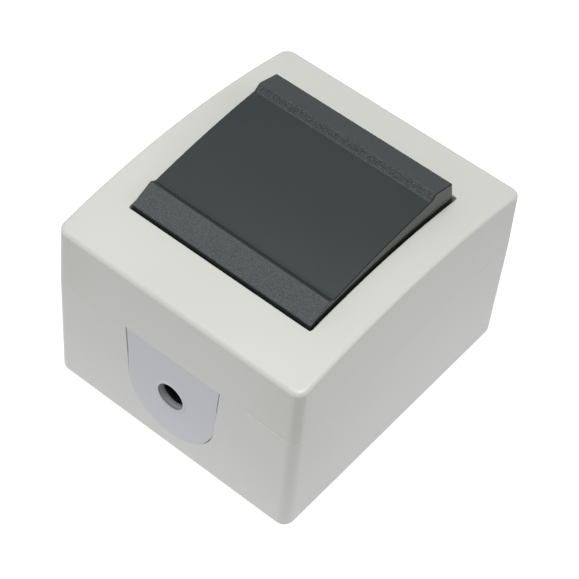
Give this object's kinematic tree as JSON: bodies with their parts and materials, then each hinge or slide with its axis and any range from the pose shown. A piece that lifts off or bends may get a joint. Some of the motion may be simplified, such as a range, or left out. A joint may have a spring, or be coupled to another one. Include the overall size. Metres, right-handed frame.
{
  "type": "surface mounted light switch",
  "caption": "Splash-proof surface mounted rocker switch: crowned two-part box, tilting rocker, see-saw contact mechanism, slide-in cable inserts.",
  "frame": {"origin": "middle of the back face, which is also the middle of the bounding box's bottom", "axes": "+Z out of the wall through the rocker, +X along the rocker's pivot axis, +Y along the longer side, from the pierced cable entry to the closed one"},
  "size_m": [0.066, 0.0762, 0.0553],
  "materials": {
    "housing": "light grey-white moulded plastic, satin",
    "insert": "cool grey soft plastic, matte",
    "rocker": "anthracite moulded plastic, satin, with grained lips",
    "cradle": "natural white plastic",
    "mechanism": "cream heat-resistant plastic",
    "seal": "black rubber",
    "screw": "zinc plated steel",
    "strip": "plain brass",
    "contact": "bright silver alloy"
  },
  "bodies": {
    "housing": {"base_box": "housing", "cover": "housing", "cable_insert": "insert", "blank_insert": "insert", "cover_gasket": "seal", "splash_seal": "seal", "cover_screw_1": "screw", "cover_screw_2": "screw", "mechanism_screw_1": "screw", "mechanism_screw_2": "screw", "mechanism_body": "mechanism", "mechanism_frame": "mechanism", "common_strip": "strip", "switched_strip_1": "strip", "switched_strip_2": "strip", "fixed_contact_1": "contact", "fixed_contact_2": "contact", "clamp_washer_1": "screw", "clamp_washer_2": "screw", "clamp_washer_3": "screw", "terminal_screw_1": "screw", "terminal_screw_2": "screw", "terminal_screw_3": "screw"},
    "rocker": {"rocker": "rocker", "rocker_cradle": "cradle", "plunger_spring": "screw"},
    "plunger": {"plunger": "cradle"},
    "contact_arm": {"contact_arm": "strip", "moving_contact_1": "contact", "moving_contact_2": "contact"}
  },
  "joints": [
    {"name": "rocker_tilt", "type": "hinge", "parent": "housing", "child": "rocker", "pos_m": [0, 0, 0.0432], "axis": [-1, 0, 0], "range_deg": [0, 12.7]},
    {"name": "arm_tilt", "type": "hinge", "parent": "housing", "child": "contact_arm", "pos_m": [0, 0, 0.02542], "axis": [1, 0, 0], "range_deg": [0, 10]},
    {"name": "plunger_slide", "type": "slide", "parent": "rocker", "child": "plunger", "axis": [0, -0.1106, 0.9939], "range_m": [0, 0.001], "stiffness_N_per_m": 300, "springref_m": -0.004, "deforming": ["plunger_spring"]}
  ],
  "couplings": [
    {"joint": "arm_tilt", "follows": "rocker_tilt", "ratio": 0.7874}
  ]
}
